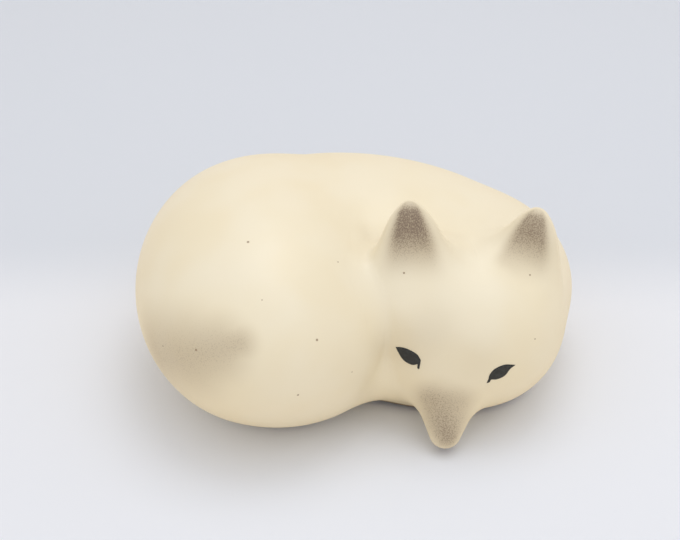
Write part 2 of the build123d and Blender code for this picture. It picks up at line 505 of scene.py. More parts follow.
@dataclass(frozen=True)
class Lens:
    """The photograph's viewpoint, and how a ray from it feels its way to a surface.

    A ray starts well before the target and goes on by a cautious share of the distance to
    the surface, so that it stops at the first surface that it meets.
    """

    target: Triple = (-4.8, 19.0, 27.0)
    elevation: float = 35.0
    distance: float = 700.0
    focal_px: float = 1750.0
    width_px: int = 680
    height_px: int = 540
    sensor_mm: float = 36.0
    clear_depth: float = 120.0
    steps: int = 160
    caution: float = 0.7
    longest_step: float = 10.0
    closeness: float = 0.1

    def back(self) -> np.ndarray:
        """Direction from the target to the camera.

        Returns:
            The unit direction.
        """
        return outward(0, self.elevation)

    def eye(self) -> np.ndarray:
        """Place of the camera in millimetres.

        Returns:
            The point.
        """
        return np.array(self.target) + self.back() * self.distance

    def spots(self, pixels: list[Pair], gap: Gap) -> np.ndarray:
        """Points of the surface that lie behind places in the photograph.

        Args:
            pixels: Places in the photograph, across and down.
            gap: Distance function of the surface.

        Returns:
            One point on the surface for each place.

        Raises:
            ValueError: If a place lies beside the surface.
        """
        back = self.back()
        right = np.array([1.0, 0, 0])
        up = np.cross(back, right)
        places = np.array(pixels, float)
        rays = -back * self.focal_px + (places[:, :1] - self.width_px / 2) * right
        rays = rays - (places[:, 1:] - self.height_px / 2) * up
        rays = rays / np.linalg.norm(rays, axis=-1, keepdims=True)
        far = np.full(len(rays), self.distance - self.clear_depth)
        for _ in range(self.steps):
            room = gap(self.eye() + rays * far[:, None])
            far = far + np.minimum(room * self.caution, self.longest_step)
        found = self.eye() + rays * far[:, None]
        if (np.abs(gap(found)) > self.closeness).any():
            raise ValueError("a place in the photograph misses the surface")
        return found

    def build(self) -> None:
        """Makes the scene's camera."""
        data = bpy.data.cameras.new("camera")
        data.sensor_width = self.sensor_mm
        data.lens = self.focal_px * self.sensor_mm / self.width_px
        camera = bpy.data.objects.new("camera", data)
        bpy.context.scene.collection.objects.link(camera)
        place = Vector(to_frame(self.eye()))
        aim = Vector(to_frame(np.array(self.target)))
        camera.location = place
        camera.rotation_euler = (aim - place).to_track_quat("-Z", "Y").to_euler()
        bpy.context.scene.camera = camera


# Meshes


@dataclass
class Surface:
    """Points, faces and normals of a mesh, with named marks for its finish."""

    points: np.ndarray
    faces: np.ndarray
    normals: np.ndarray
    marks: dict[str, np.ndarray] = field(default_factory=dict)

    def build(self, name: str, finish: bpy.types.Material) -> bpy.types.Object:
        """Makes the mesh object.

        Args:
            name: Name of the piece.
            finish: Its material.

        Returns:
            The new object.
        """
        mesh = bpy.data.meshes.new(name)
        mesh.from_pydata(to_frame(self.points).tolist(), [], self.faces.tolist())
        mesh.shade_smooth()
        for mark, values in self.marks.items():
            layer = mesh.attributes.new(mark, "FLOAT", "POINT")
            layer.data.foreach_set("value", values.astype(np.float32))
        mesh.normals_split_custom_set_from_vertices(self.normals.tolist())
        mesh.materials.append(finish)
        piece = bpy.data.objects.new(name, mesh)
        bpy.context.scene.collection.objects.link(piece)
        return piece

    def keep(self, wanted: np.ndarray) -> Surface:
        """Keeps some of the faces, and the points that they use.

        Args:
            wanted: True for each face to keep.

        Returns:
            The smaller mesh.
        """
        faces = self.faces[wanted]
        used, small = np.unique(faces, return_inverse=True)
        marks = {mark: values[used] for mark, values in self.marks.items()}
        return Surface(self.points[used], small.reshape(faces.shape), self.normals[used], marks)


def wrap(
    gap: Gap, low: np.ndarray, high: np.ndarray, step: float, passes: int = 7
) -> Surface:
    """Wraps a form in a fine net of squares.

    Args:
        gap: Distance function of the form.
        low: Lowest corner of the space that holds it.
        high: Highest corner of that space.
        step: Size of the squares.
        passes: How many times the net is drawn onto the form.

    Returns:
        The net, drawn onto the form.
    """
    lines = [np.arange(start, end + step, step) for start, end in zip(low, high)]
    inside = gap(np.stack(np.meshgrid(*lines, indexing="ij"), -1)) < 0
    corners = np.zeros(tuple(count - 1 for count in inside.shape), int)
    for shift in np.ndindex(2, 2, 2):
        window = tuple(slice(s, s + n) for s, n in zip(shift, corners.shape))
        corners = corners + inside[window]
    mixed = (corners > 0) & (corners < 8)
    number = np.full(mixed.shape, -1)
    number[mixed] = np.arange(mixed.sum())
    points = np.array(low) + (np.argwhere(mixed) + 0.5) * step
    squares = []
    for axis in range(3):
        second, third = (axis + 1) % 3, (axis + 2) % 3
        order = (axis, second, third)
        solid = np.moveaxis(inside, order, (0, 1, 2))
        cells = np.moveaxis(number, order, (0, 1, 2))
        crossing = (solid[1:] != solid[:-1])[:, 1:-1, 1:-1]
        leaving = solid[:-1][:, 1:-1, 1:-1][crossing]
        around = (cells[:, :-1, :-1], cells[:, 1:, :-1], cells[:, 1:, 1:], cells[:, :-1, 1:])
        square = np.stack([cell[crossing] for cell in around], -1)
        square[~leaving] = square[~leaving][:, ::-1]
        squares.append(square)
    faces = np.concatenate(squares)
    for _ in range(passes):
        normals = slope(gap, points)
        points = points - normals * np.clip(gap(points), -step, step)[..., None]
    return Surface(points, faces, slope(gap, points))


def net_of_rays(level: int) -> tuple[np.ndarray, np.ndarray]:
    """Even directions all round, and the triangles between them.

    Args:
        level: How many times the twenty first triangles are divided.

    Returns:
        Unit directions and triangles of three direction numbers.
    """
    net = bmesh.new()
    bmesh.ops.create_icosphere(net, subdivisions=level, radius=1)
    net.verts.ensure_lookup_table()
    rays = np.array([vert.co[:] for vert in net.verts])
    faces = np.array([[vert.index for vert in face.verts] for face in net.faces])
    net.free()
    return rays / np.linalg.norm(rays, axis=-1, keepdims=True), faces


def reach(
    gap: Gap, heart: np.ndarray, rays: np.ndarray, longest: float, halvings: int = 22
) -> np.ndarray:
    """Points where rays from the heart of a form leave it.

    Args:
        gap: Distance function of the form.
        heart: Point that sees the whole surface from within.
        rays: Unit directions.
        longest: A length that is outside the form along every ray.
        halvings: How many times the span of each ray is halved.

    Returns:
        One point for each ray.
    """
    low = np.zeros(len(rays))
    high = np.full(len(rays), longest)
    for _ in range(halvings):
        middle = (low + high) / 2
        out = gap(heart + rays * middle[:, None]) > 0
        high = np.where(out, middle, high)
        low = np.where(out, low, middle)
    return heart + rays * ((low + high) / 2)[:, None]


# Airbrush


@dataclass(frozen=True)
class Stroke:
    """One pass of colour over the surface, from place to place in the photograph: airbrush, and on
    the brow and temple partly painted shade.

    Places are in pixels across and down, radii in millimetres at the surface.
    """

    places: tuple[Pair, ...]
    radii: tuple[float, ...]
    strength: float
    softness: float = 0.95

    def density(self, points: np.ndarray, line: np.ndarray) -> np.ndarray:
        """How much colour the stroke leaves.

        Args:
            points: Points of a mesh.
            line: Points of the surface behind the stroke's places.

        Returns:
            Density from 0 to the stroke's strength.
        """
        best = np.full(len(points), np.inf)
        for step, (start, end) in enumerate(zip(line, line[1:])):
            way = end - start
            share = np.clip((points - start) @ way / (way @ way + TINY), 0, 1)
            wide = self.radii[step] + share * (self.radii[step + 1] - self.radii[step])
            off = np.linalg.norm(points - start - share[:, None] * way, axis=-1)
            best = np.minimum(best, off / wide)
        return self.strength * ease(1, 1 - self.softness, best)


STROKES = {
    "haunch": Stroke(
        places=((158, 354), (188, 357), (216, 350), (238, 344)),
        radii=(24, 24, 18, 10),
        strength=0.44,
        softness=1.0,
    ),
    "muzzle left side": Stroke(
        places=((429, 402), (436, 422), (445, 438)), radii=(11, 10, 7.5), strength=0.46
    ),
    "muzzle right side": Stroke(
        places=((460, 404), (458, 420), (451, 438)), radii=(10.5, 10, 7.5), strength=0.38
    ),
    "muzzle ridge": Stroke(places=((441, 402), (445, 430)), radii=(12, 10), strength=0.36),
    # The brow and temple strokes are partly tan airbrush and partly painted shade between and above
    # the eyes
    "brow": Stroke(
        places=((420, 352), (440, 372), (470, 366)), radii=(20, 18, 18), strength=0.08
    ),
    "temple": Stroke(places=((396, 340), (436, 328)), radii=(15, 15), strength=0.08),
}


@dataclass(frozen=True)
class EarTint:
    """Airbrushed colour on the front of one ear, inside its paler rim.

    Each pair says where the colour starts and where it is full: in shares of the tinted
    height and of the half width, in the cosine of the surface's turn from the ear's front,
    and in millimetres from its spine.
    """

    strength: float
    brow: float = 0.33
    rise: Pair = (-0.02, 0.7)
    side: Pair = (0.92, 0.45)
    side_rest: float = 0.15
    tip: Pair = (1.0, 0.86)
    tip_rest: float = 0.35
    facing: Pair = (0.05, 0.5)
    across: Pair = (22.0, 16.0)
    deep: Pair = (16.0, 10.0)
    least_share: float = 0.02

    def density(self, ear: Ear, points: np.ndarray, normals: np.ndarray) -> np.ndarray:
        """How much colour there is on the ear.

        Args:
            ear: The ear.
            points: Points of a mesh.
            normals: Their normals.

        Returns:
            Density from 0 to the tint's strength.
        """
        _, front, _, height = ear.axes()
        local = ear.local(points)
        aside, ahead = np.abs(local[:, 0]), np.abs(local[:, 1])
        rising = (local[:, 2] - self.brow * height) / ((1 - self.brow) * height)
        half = ear.half_width * np.sqrt(np.clip(1 - rising, self.least_share, 1))
        side = self.side_rest + (1 - self.side_rest) * ease(*self.side, aside / half)
        tip = self.tip_rest + (1 - self.tip_rest) * ease(*self.tip, rising)
        near = ease(*self.across, aside) * ease(*self.deep, ahead)
        facing = ease(*self.facing, normals @ front)
        return self.strength * ease(*self.rise, rising) * side * facing * near * tip


@dataclass
class Airbrush:
    """Brown airbrushed on the ears, the muzzle and the haunch, brown that is partly painted shade
    on the brow and temple, and the unglazed foot, darkened as painted shade.
    """

    fox: Fox
    lens: Lens
    lines: dict[str, np.ndarray] = field(default_factory=dict)
    left_ear: EarTint = EarTint(0.9)
    right_ear: EarTint = EarTint(0.78)
    # Heights over which the dark bare foot colour, which is also painted shade along the lower
    # edge, fades in
    bare_foot_and_shade_heights: Pair = (2.4, 1.2)

    def __post_init__(self) -> None:
        """Finds where the strokes lie on the surface."""
        for name, stroke in STROKES.items():
            self.lines[name] = self.lens.spots(list(stroke.places), self.fox.skin)

    def density(self, points: np.ndarray, normals: np.ndarray) -> np.ndarray:
        """Colour that all strokes leave.

        Args:
            points: Points of a mesh.
            normals: Their normals.

        Returns:
            Density from 0 to 1.
        """
        clear = np.ones(len(points))
        for name, stroke in STROKES.items():
            clear = clear * (1 - stroke.density(points, self.lines[name]))
        for ear, tint in ((self.fox.left_ear, self.left_ear), (self.fox.right_ear, self.right_ear)):
            clear = clear * (1 - tint.density(ear, points, normals))
        return 1 - clear

    def mark(self, surface: Surface) -> Surface:
        """Adds the airbrushed colour, partly painted shade on the brow and temple, and the bare
        foot, darkened as painted shade, to a mesh.

        Args:
            surface: The mesh.

        Returns:
            The same mesh with its marks.
        """
        height = surface.points[:, 2] - self.fox.foot_level
        surface.marks["tint"] = self.density(surface.points, surface.normals)
        # The bare mark is the unglazed foot and also painted shade along the lower edge
        surface.marks["bare"] = ease(*self.bare_foot_and_shade_heights, height)
        return surface


# Finishes


@dataclass
class Wiring:
    """Short calls that add shader nodes to one material."""

    tree: bpy.types.NodeTree

    def node(self, kind: str, **settings: object) -> bpy.types.Node:
        """Adds a node.

        Args:
            kind: Blender's name of the node type, without its prefix.
            settings: Properties to set on it.

        Returns:
            The new node.
        """
        node = self.tree.nodes.new("ShaderNode" + kind)
        for name, value in settings.items():
            setattr(node, name, value)
        return node

    def feed(self, socket: bpy.types.NodeSocket, source: object) -> None:
        """Links a socket to another, or sets its value.

        Args:
            socket: The input socket.
            source: An output socket or a plain value.
        """
        if isinstance(source, bpy.types.NodeSocket):
            self.tree.links.new(source, socket)
        else:
            socket.default_value = source

    def math(self, operation: str, *values: object, clamp: bool = False) -> bpy.types.NodeSocket:
        """Adds a maths node.

        Args:
            operation: Its operation.
            values: Sockets or numbers that it works on.
            clamp: Whether the result is kept between 0 and 1.

        Returns:
            The result's socket.
        """
        node = self.node("Math", operation=operation, use_clamp=clamp)
        for socket, value in zip(node.inputs, values):
            self.feed(socket, value)
        return node.outputs[0]

    def mix(self, share: object, first: object, second: object) -> bpy.types.NodeSocket:
        """Mixes two colours.

        Args:
            share: How much of the second colour there is.
            first: First colour.
            second: Second colour.

        Returns:
            The mixed colour's socket.
        """
        node = self.node("Mix", data_type="RGBA")
        self.feed(node.inputs["Factor"], share)
        self.feed(node.inputs[6], first)
        self.feed(node.inputs[7], second)
        return node.outputs[2]

    def total(self, *parts: tuple[object, float]) -> bpy.types.NodeSocket:
        """Adds up parts, each times its weight.

        Args:
            parts: Socket and weight of each part.

        Returns:
            The sum's socket.
        """
        result = None
        for source, weight in parts:
            part = self.math("MULTIPLY", source, weight)
            result = part if result is None else self.math("ADD", result, part)
        return result

    def relief(
        self, shader: bpy.types.Node, height: object, distance: float, strength: float = 1.0
    ) -> None:
        """Gives a finish a fine relief.

        Args:
            shader: Surface shader of the finish.
            height: Socket of the height.
            distance: Metres for a height of 1.
            strength: How much of the relief shows.
        """
        bump = self.node("Bump")
        bump.inputs["Distance"].default_value = distance
        bump.inputs["Strength"].default_value = strength
        self.feed(bump.inputs["Height"], height)
        self.feed(shader.inputs["Normal"], bump.outputs[0])

    def noise(self, where: object, size: float, detail: float = 2.0) -> bpy.types.NodeSocket:
        """Adds cloudy noise.

        Args:
            where: Socket of the coordinates, in metres.
            size: Size of its blots in metres.
            detail: How much finer noise is on it.

        Returns:
            The noise's socket, about 0.5 on average.
        """
        node = self.node("TexNoise")
        self.feed(node.inputs["Vector"], where)
        node.inputs["Scale"].default_value = 1 / size
        node.inputs["Detail"].default_value = detail
        return node.outputs[0]

    def remap(self, value: object, low: object, high: object) -> bpy.types.NodeSocket:
        """Smooth step of a value from 0 at low to 1 at high.

        Args:
            value: Socket of the value.
            low: Number or socket where the step starts.
            high: Number or socket where it ends.

        Returns:
            The step's socket.
        """
        node = self.node("MapRange", interpolation_type="SMOOTHSTEP")
        self.feed(node.inputs["Value"], value)
        self.feed(node.inputs["From Min"], low)
        self.feed(node.inputs["From Max"], high)
        return node.outputs[0]

    def mark(self, name: str) -> bpy.types.NodeSocket:
        """Reads one of the mesh's marks.

        Args:
            name: Name of the mark.

        Returns:
            The mark's socket.
        """
        return self.node("Attribute", attribute_name=name).outputs["Fac"]


def new_finish(name: str) -> tuple[bpy.types.Material, Wiring, bpy.types.Node]:
    """Starts a material.

    Args:
        name: Name of the material.

    Returns:
        The material, its wiring and its surface shader.
    """
    material = bpy.data.materials.new(name)
    material.use_nodes = True
    return material, Wiring(material.node_tree), material.node_tree.nodes["Principled BSDF"]


@dataclass(frozen=True)
class Pinhole:
    """A pinhole in the glaze: its place in the photograph, in pixels, and its radius in mm."""

    across: float
    down: float
    radius: float


PINHOLES = (
    Pinhole(across=248, down=242, radius=0.42),
    Pinhole(across=317, down=340, radius=0.42),
    Pinhole(across=196, down=350, radius=0.4),
    Pinhole(across=163, down=346, radius=0.3),
    Pinhole(across=298, down=395, radius=0.36),
    Pinhole(across=338, down=262, radius=0.24),
    Pinhole(across=404, down=273, radius=0.34),
    Pinhole(across=530, down=275, radius=0.3),
    Pinhole(across=535, down=339, radius=0.26),
    Pinhole(across=262, down=300, radius=0.2),
    Pinhole(across=352, down=372, radius=0.22),
)


@dataclass(frozen=True)
class Glaze:
    """Ivory satin glaze with brown airbrushing, partly painted shade on the brow, stipple and
    pinholes, and a dark bare foot that is partly painted shade.

    Sizes of blots and heights of relief are in metres. A pair of edges says at which value
    of the noise, or at which share of a radius, a mark starts and where it is full.
    """

    light: Colour = (0.885, 0.818, 0.66, 1)
    warm: Colour = (0.87, 0.788, 0.605, 1)
    cloud_size: float = 0.035
    cloud_edges: Pair = (0.35, 0.68)
    fleck_size: float = 0.0011
    fleck_edges: Pair = (0.63, 0.8)
    fleck_share: float = 0.25
    tan: Colour = (0.70, 0.57, 0.37, 1)
    tan_share: float = 0.6
    brown: Colour = (0.19, 0.135, 0.10, 1)
    grain_size: float = 0.00042
    grain_bar: float = 0.80
    bar_drop: float = 0.38
    bar_edges: Pair = (0.13, 0.10)
    grain_power: float = 0.6
    spray_share: float = 0.66
    speck_share: float = 0.36
    pit_colour: Colour = (0.22, 0.13, 0.07, 1)
    pit_edges: Pair = (1.5, 0.6)
    pit_share: float = 0.75
    # Clay and grog colours of the bare foot, darker than the clay's own: painted shade under the
    # throat and round the foot
    clay: Colour = (0.20, 0.11, 0.06, 1)
    grog_and_shade: Colour = (0.14, 0.08, 0.045, 1)
    grog_size: float = 0.002
    roughness: float = 0.35
    rough_size: float = 0.006
    rough_wander: float = 0.10
    spray_roughness: float = 0.12
    bare_roughness: float = 0.40
    peel_size: float = 0.0016
    peel_height: float = 0.000004
    swell_size: float = 0.011
    swell_height: float = 0.00005
    pit_depth: float = 0.00025
    speck_height: float = 0.000004
    relief: float = 0.5

    def ivory(self, wire: Wiring, where: bpy.types.NodeSocket) -> bpy.types.NodeSocket:
        """Ivory with warm clouds and flecks.

        Args:
            wire: Wiring of the material.
            where: Socket of the coordinates.

        Returns:
            The colour's socket.
        """
        cloud = wire.remap(wire.noise(where, self.cloud_size), *self.cloud_edges)
        fleck = wire.remap(wire.noise(where, self.fleck_size, 3), *self.fleck_edges)
        clouded = wire.mix(cloud, self.light, self.warm)
        return wire.mix(wire.math("MULTIPLY", fleck, self.fleck_share), clouded, self.warm)

    def specks(self, wire: Wiring, where: bpy.types.NodeSocket) -> bpy.types.NodeSocket:
        """Fine specks of the airbrush, which crowd together where it lingered.

        Args:
            wire: Wiring of the material.
            where: Socket of the coordinates.

        Returns:
            Socket of their density.
        """
        tint = wire.mark("tint")
        drop = wire.math("MULTIPLY", tint, self.bar_drop)
        bar = wire.math("SUBTRACT", self.grain_bar, drop)
        low = wire.math("SUBTRACT", bar, self.bar_edges[0])
        high = wire.math("ADD", bar, self.bar_edges[1])
        speck = wire.remap(wire.noise(where, self.grain_size), low, high)
        return wire.math("MULTIPLY", speck, wire.math("POWER", tint, self.grain_power))

    def pinholes(
        self, wire: Wiring, where: bpy.types.NodeSocket, places: np.ndarray
    ) -> bpy.types.NodeSocket:
        """Marks of the pinholes.

        Args:
            wire: Wiring of the material.
            where: Socket of the coordinates.
            places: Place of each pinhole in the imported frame.

        Returns:
            Socket that is 1 in a pinhole and 0 elsewhere.
        """
        nearest = None
        for hole, place in zip(PINHOLES, places):
            span = wire.node("VectorMath", operation="DISTANCE")
            wire.feed(span.inputs[0], where)
            span.inputs[1].default_value = tuple(place)
            reading = wire.math("DIVIDE", span.outputs["Value"], hole.radius * MM)
            nearest = reading if nearest is None else wire.math("MINIMUM", nearest, reading)
        return wire.remap(nearest, *self.pit_edges)

    def build(self, places: np.ndarray) -> bpy.types.Material:
        """Makes the material.

        Args:
            places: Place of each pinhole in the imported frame.

        Returns:
            The material.
        """
        material, wire, shader = new_finish("ivory_glaze_finish")
        where = wire.node("TexCoord").outputs["Object"]
        tint, bare = wire.mark("tint"), wire.mark("bare")
        speck = self.specks(wire, where)
        pit = self.pinholes(wire, where, places)
        thin = wire.math("MULTIPLY", tint, self.tan_share)
        colour = wire.mix(thin, self.ivory(wire, where), self.tan)
        # Airbrush brown, which on the brow and temple is painted shade
        spray_and_shade = wire.math("MULTIPLY", tint, self.spray_share)
        dotted = wire.math("MULTIPLY", speck, self.speck_share)
        spray_and_shade = wire.math("ADD", spray_and_shade, dotted, clamp=True)
        colour = wire.mix(spray_and_shade, colour, self.brown)
        colour = wire.mix(wire.math("MULTIPLY", pit, self.pit_share), colour, self.pit_colour)
        # Bare foot colour over the lower edge, partly painted shade
        grog_and_shade = wire.mix(wire.noise(where, self.grog_size, 4), self.clay, self.grog_and_shade)
        wire.feed(shader.inputs["Base Color"], wire.mix(bare, colour, grog_and_shade))
        rough = wire.total(
            (wire.noise(where, self.rough_size, 3), self.rough_wander),
            (spray_and_shade, self.spray_roughness),
            (bare, self.bare_roughness),
        )
        wire.feed(shader.inputs["Roughness"], wire.math("ADD", rough, self.roughness))
        height = wire.total(
            (wire.noise(where, self.peel_size, 3), self.peel_height),
            (wire.noise(where, self.swell_size), self.swell_height),
            (pit, -self.pit_depth),
            (speck, self.speck_height),
        )
        wire.relief(shader, height, 1.0, self.relief)
        return material


@dataclass(frozen=True)
class Enamel:
    """Near-black overglaze enamel of the eyes."""

    dark: Colour = (0.009, 0.012, 0.014, 1)
    worn: Colour = (0.022, 0.028, 0.031, 1)
    brush_size: float = 0.0012
    brush_edges: Pair = (0.4, 0.75)
    roughness: float = 0.26
    rough_size: float = 0.0008
    rough_wander: float = 0.12
    ripple_size: float = 0.0009
    ripple_height: float = 0.00006

    def build(self) -> bpy.types.Material:
        """Makes the material.

        Returns:
            The material.
        """
        material, wire, shader = new_finish("black_enamel_finish")
        where = wire.node("TexCoord").outputs["Object"]
        brushed = wire.remap(wire.noise(where, self.brush_size, 3), *self.brush_edges)
        wire.feed(shader.inputs["Base Color"], wire.mix(brushed, self.dark, self.worn))
        rough = wire.math("MULTIPLY", wire.noise(where, self.rough_size), self.rough_wander)
        wire.feed(shader.inputs["Roughness"], wire.math("ADD", rough, self.roughness))
        wire.relief(shader, wire.noise(where, self.ripple_size), self.ripple_height)
        return material


@dataclass(frozen=True)
class Felt:
    """Dark pressed felt of the pads."""

    dark: Colour = (0.10, 0.095, 0.09, 1)
    pale: Colour = (0.24, 0.225, 0.21, 1)
    fibre_size: float = 0.0006
    fibre_height: float = 0.0002
    roughness: float = 0.95
    sheen: float = 0.4

    def build(self) -> bpy.types.Material:
        """Makes the material.

        Returns:
            The material.
        """
        material, wire, shader = new_finish("felt_finish")
        where = wire.node("TexCoord").outputs["Object"]
        fibre = wire.noise(where, self.fibre_size, 6)
        wire.feed(shader.inputs["Base Color"], wire.mix(fibre, self.dark, self.pale))
        shader.inputs["Roughness"].default_value = self.roughness
        shader.inputs["Sheen Weight"].default_value = self.sheen
        wire.relief(shader, fibre, self.fibre_height)
        return material


# Pieces


def settle(piece: bpy.types.Object, slot: Slot, *nodes: str) -> None:
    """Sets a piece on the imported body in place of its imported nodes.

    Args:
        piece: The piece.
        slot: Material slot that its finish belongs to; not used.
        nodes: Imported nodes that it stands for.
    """
    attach(piece, "root")
    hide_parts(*nodes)
    LOG.info("%s: %d points for %s", piece.name, len(piece.data.vertices), ", ".join(nodes))


@dataclass
class Casting:
    """The hollow cast body and the cast head cap, parted along their seam.

    Both are drawn along rays from the heart, a point that sees all of the skin from within.
    Points close to the edge of the vent hole are moved onto it, and round it the lining
    stands upright over the skin.
    """

    fox: Fox
    seam: Seam
    airbrush: Airbrush
    finish: bpy.types.Material
    heart: Triple = (18.0, -14.0, 46.0)
    fineness: int = 8
    longest: float = 130.0
    vent: Pair = (2.0, -1.0)
    vent_radius: float = 1.5
    vent_catch: float = 0.28
    upright_spans: Pair = (14.0, 3.0)
    foot_margin: float = 0.4

    def open_vent(self, outer: np.ndarray, inner: np.ndarray) -> None:
        """Draws the points round the vent hole into a straight round wall.

        Args:
            outer: Points of the skin, changed in place.
            inner: Points of the lining, changed in place.
        """
        low = outer[:, 2] < self.fox.foot_level + self.foot_margin
        off = outer[:, :2] - np.array(self.vent)
        span = np.linalg.norm(off, axis=-1)
        ring = low & (np.abs(span - self.vent_radius) < self.vent_catch)
        stretch = self.vent_radius / span[ring]
        outer[ring, :2] = np.array(self.vent) + off[ring] * stretch[:, None]
        upright = (low * ease(*self.upright_spans, span))[:, None]
        inner[:, :2] = inner[:, :2] * (1 - upright) + outer[:, :2] * upright

    def shell(self, faces: np.ndarray, outer: Surface, inner: Surface) -> Surface:
        """Closes part of the skin and of the lining into a wall with rims.

        Args:
            faces: Triangles of the part.
            outer: The whole skin.
            inner: The whole lining.

        Returns:
            The closed part.
        """
        edges = np.concatenate([faces[:, [0, 1]], faces[:, [1, 2]], faces[:, [2, 0]]])
        once = {tuple(edge) for edge in edges.tolist()}
        rim = np.array([edge for edge in once if edge[::-1] not in once]).reshape(-1, 2)
        starts, ends = outer.points[rim[:, 0]], outer.points[rim[:, 1]]
        deep_starts, deep_ends = inner.points[rim[:, 0]], inner.points[rim[:, 1]]
        facing = np.cross(starts - ends, deep_starts - ends)
        facing = facing / (np.linalg.norm(facing, axis=-1, keepdims=True) + TINY)
        count, width = len(outer.points), len(rim)
        number = 2 * count + np.arange(width)
        first = np.stack([number, number + width, number + 2 * width], -1)
        second = np.stack([number, number + 2 * width, number + 3 * width], -1)
        corners = [ends, starts, deep_starts, deep_ends]
        points = np.concatenate([outer.points, inner.points, *corners])
        normals = np.concatenate([outer.normals, -inner.normals, np.tile(facing, (4, 1))])
        triangles = np.concatenate([faces, faces[:, ::-1] + count, first, second])
        hidden = np.ones(len(points) - count)
        marks = {
            "tint": np.concatenate([outer.marks["tint"], 0 * hidden]),
            "bare": np.concatenate([outer.marks["bare"], hidden]),
        }
        whole = Surface(points, triangles, normals, marks)
        return whole.keep(np.ones(len(triangles), bool))

    def build(self) -> None:
        """Makes the body and the head."""
        rays, faces = net_of_rays(self.fineness - 2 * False)
        heart = np.array(self.heart)
        points = reach(self.fox.skin, heart, rays, self.longest)
        deep = reach(self.fox.lining, heart, rays, self.longest)
        normals = slope(self.fox.skin, points)
        deep_normals = slope(self.fox.lining, deep)
        self.open_vent(points, deep)
        outer = self.airbrush.mark(Surface(points, faces, normals))
        inner = Surface(deep, faces, deep_normals)
        middles = points[faces].mean(axis=1)
        off = np.linalg.norm(middles[:, :2] - np.array(self.vent), axis=-1)
        low = middles[:, 2] < self.fox.foot_level + self.foot_margin
        hole = low & (off < self.vent_radius)
        head = self.seam.in_head(middles)
        body = self.shell(faces[~head & ~hole], outer, inner)
        settle(body.build("glazed_body", self.finish), Slot.GLAZE, "body_shell")
        cap = self.shell(faces[head], outer, inner)
        settle(cap.build("glazed_head", self.finish), Slot.GLAZE, "head_shell")


@dataclass
class Ears:
    """The two luted ears, whose roots flow into the head."""

    fox: Fox
    airbrush: Airbrush
    finish: bpy.types.Material
    step: float = 0.5
    margin_below: Triple = (28, 26, 18)
    margin_above: Triple = (28, 24, 4)
    least_lift: float = 0.012

    def build(self) -> None:
        """Makes both ears."""
        for name, ear in (("left_ear", self.fox.left_ear), ("right_ear", self.fox.right_ear)):
            ends = np.array([ear.root, ear.tip])
            low = ends.min(axis=0) - np.array(self.margin_below)
            high = ends.max(axis=0) + np.array(self.margin_above)

            def gap(points: np.ndarray, ear: Ear = ear) -> np.ndarray:
                """Distance outside the head with this ear."""
                own = ear.gap(points) + self.fox.draw_in
                return ear.join(self.fox.skin(points), own, points)

            surface = wrap(gap, low, high, self.step * (1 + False))
            lift = self.fox.skin(surface.points)
            raised = (lift > self.least_lift)[surface.faces].any(axis=1)
            surface = self.airbrush.mark(surface.keep(raised))
            settle(surface.build(f"glazed_{name}", self.finish), Slot.GLAZE, name)


@dataclass(frozen=True)
class Eye:
    """Outline of one eye on a plane that touches the face: upper lid, stroke, lower lid."""

    middle: Triple
    normal: Triple
    axis: Triple
    upper: tuple[Pair, ...]
    stroke: tuple[Pair, ...]
    lower: tuple[Pair, ...]

    def outline(self) -> np.ndarray:
        """Closed outline with smooth lids and a sharp stroke.

        Returns:
            Points on the plane, in millimetres.
        """
        lid = smooth_line(np.array(self.upper))
        under = smooth_line(np.array([self.stroke[-1], *self.lower, self.upper[0]]))
        return np.concatenate([lid, np.array(self.stroke[:-1]), under[:-1]])

    def gap(self, points: np.ndarray) -> np.ndarray:
        """Distance outside the outline, drawn through the face.

        Args:
            points: Points to measure.

        Returns:
            Distances, below zero inside.
        """
        normal = np.array(self.normal) / np.linalg.norm(self.normal)
        along = np.array(self.axis) - normal * float(np.dot(self.axis, normal))
        along = along / np.linalg.norm(along)
        off = points - np.array(self.middle)
        place = np.stack([off @ along, off @ np.cross(normal, along)], -1)
        outline = self.outline()
        ahead = np.roll(outline, -1, axis=0)
        near = np.full(place.shape[:-1], np.inf)
        inside = np.zeros(place.shape[:-1], bool)
        for start, end in zip(outline, ahead):
            way = end - start
            share = np.clip((place - start) @ way / (way @ way + TINY), 0, 1)
            span = np.linalg.norm(place - start - share[..., None] * way, axis=-1)
            near = np.minimum(near, span)
            spans = (start[1] > place[..., 1]) != (end[1] > place[..., 1])
            height = way[1] if abs(way[1]) > TINY else TINY
            cross = start[0] + (place[..., 1] - start[1]) * way[0] / height
            inside = inside ^ (spans & (place[..., 0] < cross))
        return np.where(inside, -near, near)


def smooth_line(knots: np.ndarray, parts: int = 8) -> np.ndarray:
    """Smooth open line through knots.

    Args:
        knots: Points that it goes through.
        parts: Pieces between two knots.

    Returns:
        Points of the line, with both ends.
    """
    ends = np.concatenate([2 * knots[:1] - knots[1:2], knots, 2 * knots[-1:] - knots[-2:-1]])
    line = []
    for step in range(len(knots) - 1):
        before, start, end, after = ends[step : step + 4]
        for part in range(parts):
            share = part / parts
            bend = 2 * start + (end - before) * share
            bend = bend + (2 * before - 5 * start + 4 * end - after) * share * share
            bend = bend + (3 * start - before - 3 * end + after) * share**3
            line.append(bend / 2)
    line.append(knots[-1])
    return np.array(line)


